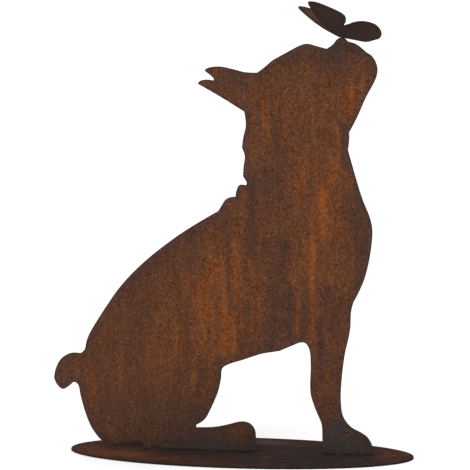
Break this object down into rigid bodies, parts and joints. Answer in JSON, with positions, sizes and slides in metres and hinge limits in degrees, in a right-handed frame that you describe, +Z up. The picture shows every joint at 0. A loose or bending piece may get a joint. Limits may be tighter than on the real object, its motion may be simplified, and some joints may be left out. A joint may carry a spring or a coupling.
{
  "type": "sheet steel bulldog figurine",
  "caption": "Sitting bulldog cut from rusted sheet steel, on an oval base plate, with a folded butterfly on its raised nose.",
  "frame": {"origin": "centre of the base plate's underside", "axes": "+Z up, +X the way the dog faces along the plate's length, and the dog's sheet lies in the plane Y = 0"},
  "size_m": [0.358, 0.14, 0.4386],
  "materials": {
    "plate_steel": "rusted, matt, brown with orange patches",
    "dog_steel": "rusted, matt, brown with fine orange speckle and runs",
    "butterfly_steel": "rusted, matt, very dark brown"
  },
  "bodies": {
    "root": {"base_plate": "plate_steel", "bulldog_silhouette": "dog_steel", "butterfly": "butterfly_steel"}
  },
  "joints": []
}
